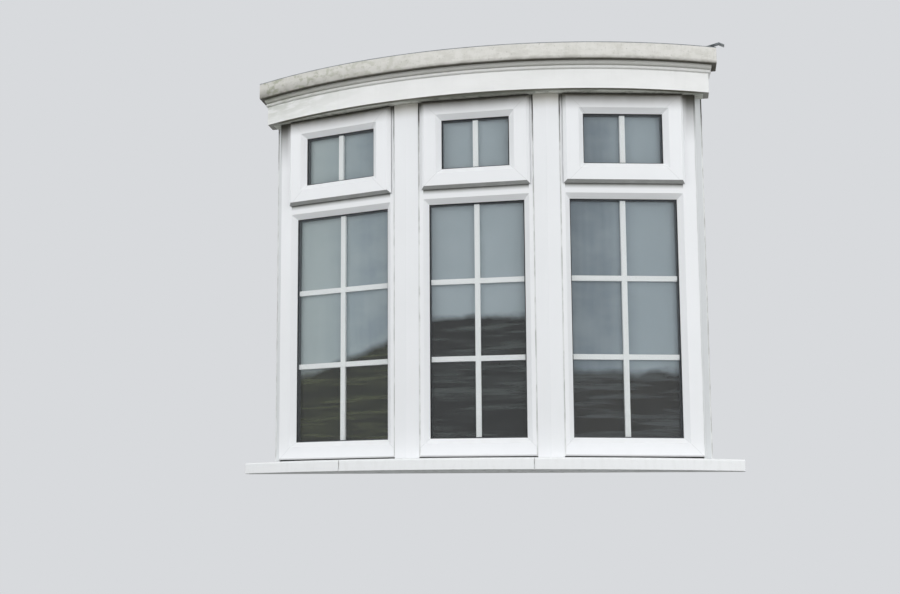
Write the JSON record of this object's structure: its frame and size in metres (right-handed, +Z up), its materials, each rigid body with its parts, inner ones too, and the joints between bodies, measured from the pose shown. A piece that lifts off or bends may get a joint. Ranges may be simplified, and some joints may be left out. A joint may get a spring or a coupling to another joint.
{
  "type": "bow window with curved canopy",
  "caption": "Shallow white bow window with top-hung fanlights, glazing bars, bowed sill and a curved timber canopy.",
  "frame": {"origin": "middle of the sill's flat back face, on the plane of the wall's outer face", "axes": "+X right along the wall as seen from outside, +Y into the wall, +Z up"},
  "size_m": [1.7194, 0.3492, 1.5085],
  "materials": {
    "pvcu": "white PVC-U, welded and clean, soft gloss",
    "post_pvcu": "white PVC-U cover strip, soft gloss",
    "seal_rubber": "dark grey EPDM, matt",
    "spacer": "dark grey warm-edge spacer, matt",
    "bar_white": "white painted aluminium bar inside the unit",
    "float_glass": "clear float glass, slightly blue-grey",
    "sill_paint": "white painted timber, weathered",
    "canopy_paint": "white painted timber, weathered",
    "edge_paint": "white paint greyed by lichen and dirt",
    "soffit_paint": "paint with green-grey algae",
    "board_timber": "bare softwood and plywood",
    "lead": "dull grey sheet lead",
    "handle_white": "white powder coat"
  },
  "bodies": {
    "root": {"sill_left": "sill_paint", "sill_middle": "sill_paint", "sill_right": "sill_paint", "left_frame": "pvcu", "middle_frame": "pvcu", "right_frame": "pvcu", "left_transom": "pvcu", "middle_transom": "pvcu", "right_transom": "pvcu", "left_sash": "pvcu", "middle_sash": "pvcu", "right_sash": "pvcu", "left_gaskets": "seal_rubber", "middle_gaskets": "seal_rubber", "right_gaskets": "seal_rubber", "left_fixed_glass": "float_glass", "middle_fixed_glass": "float_glass", "right_fixed_glass": "float_glass", "left_fan_glass": "float_glass", "middle_fan_glass": "float_glass", "right_fan_glass": "float_glass", "left_glazing_bars": "bar_white", "middle_glazing_bars": "bar_white", "right_glazing_bars": "bar_white", "left_spacers": "spacer", "middle_spacers": "spacer", "right_spacers": "spacer", "left_beads": "pvcu", "middle_beads": "pvcu", "right_beads": "pvcu", "left_handle": "handle_white", "middle_handle": "handle_white", "right_handle": "handle_white", "left_bay_post": "pvcu", "right_bay_post": "pvcu", "left_post_cover": "post_pvcu", "right_post_cover": "post_pvcu", "left_jamb_trim": "post_pvcu", "right_jamb_trim": "post_pvcu", "window_board": "pvcu", "head_board": "board_timber", "canopy_soffit": "soffit_paint", "canopy_fascia": "canopy_paint", "canopy_bead": "canopy_paint", "canopy_edge": "edge_paint", "canopy_framing": "board_timber", "canopy_roof": "lead", "wall_flashing": "lead", "flashing_apron": "lead"}
  },
  "joints": []
}
